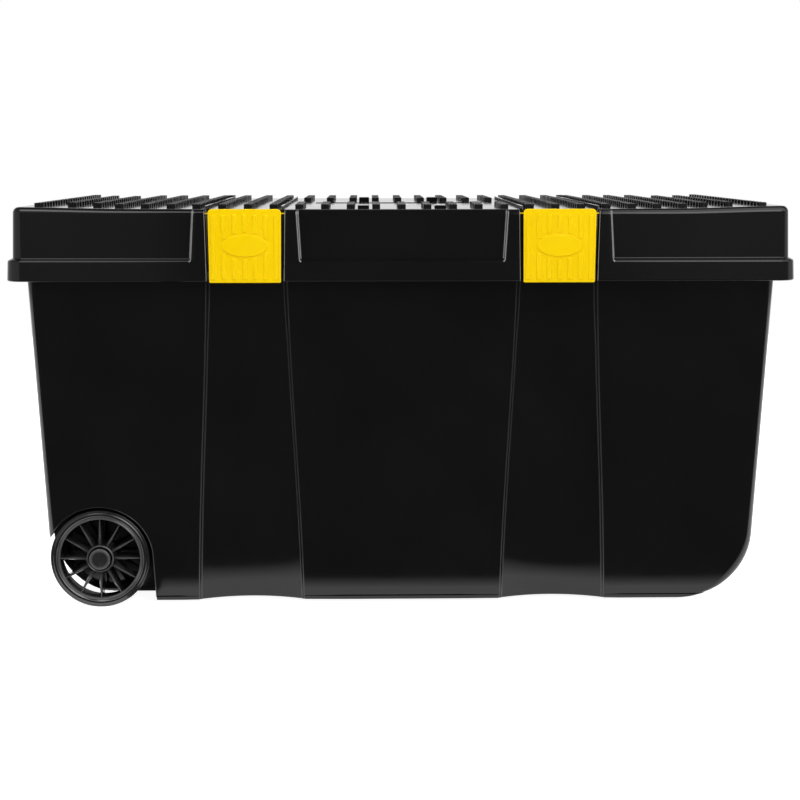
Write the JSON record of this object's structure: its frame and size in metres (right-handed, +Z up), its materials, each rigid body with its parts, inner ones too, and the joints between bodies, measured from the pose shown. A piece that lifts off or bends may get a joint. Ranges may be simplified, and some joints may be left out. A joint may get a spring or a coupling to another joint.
{
  "type": "rolling trunk",
  "caption": "Long moulded storage trunk with a ribbed hinged lid, draw-down latches on the front and spoked wheels under one end.",
  "frame": {"origin": "middle of the footprint, on the floor under the wheels and feet", "axes": "+X along the length, away from the wheels; +Y from the latches towards the hinges; +Z up"},
  "size_m": [0.965, 0.531, 0.51],
  "materials": {
    "tub_plastic": "fine moulded grain, satin",
    "lid_plastic": "fine moulded grain, satin",
    "latch_plastic": "smooth moulded, semi-gloss",
    "wheel_plastic": "smooth moulded, satin",
    "tyre": "satin",
    "steel": "zinc plated"
  },
  "bodies": {
    "trunk": {"tub": "tub_plastic", "hinge_pin_left": "steel", "hinge_pin_middle": "steel", "hinge_pin_right": "steel", "axle": "steel", "washer_inner_front": "steel", "washer_outer_front": "steel", "washer_inner_back": "steel", "washer_outer_back": "steel", "push_nut_front": "steel", "push_nut_back": "steel"},
    "lid": {"lid": "lid_plastic"},
    "latch_left": {"latch_left": "latch_plastic"},
    "latch_right": {"latch_right": "latch_plastic"},
    "wheel_front": {"wheel_front": "wheel_plastic", "tyre_front": "tyre", "hub_cap_front": "wheel_plastic"},
    "wheel_back": {"wheel_back": "wheel_plastic", "tyre_back": "tyre", "hub_cap_back": "wheel_plastic"}
  },
  "joints": [
    {"name": "lid_hinge", "type": "hinge", "parent": "trunk", "child": "lid", "pos_m": [0, 0.258, 0.407], "axis": [-1, 0, 0], "range_deg": [0, 100]},
    {"name": "latch_left_pivot", "type": "hinge", "parent": "lid", "child": "latch_left", "pos_m": [-0.1908, -0.2565, 0.4975], "axis": [-1, 0, 0], "range_deg": [0, 110]},
    {"name": "latch_right_pivot", "type": "hinge", "parent": "lid", "child": "latch_right", "pos_m": [0.1908, -0.2565, 0.4975], "axis": [-1, 0, 0], "range_deg": [0, 110]},
    {"name": "wheel_front_spin", "type": "hinge", "parent": "trunk", "child": "wheel_front", "pos_m": [-0.3817, -0.2075, 0.0625], "axis": [0, 1, 0], "continuous": true},
    {"name": "wheel_back_spin", "type": "hinge", "parent": "trunk", "child": "wheel_back", "pos_m": [-0.3817, 0.1975, 0.0625], "axis": [0, 1, 0], "continuous": true}
  ]
}
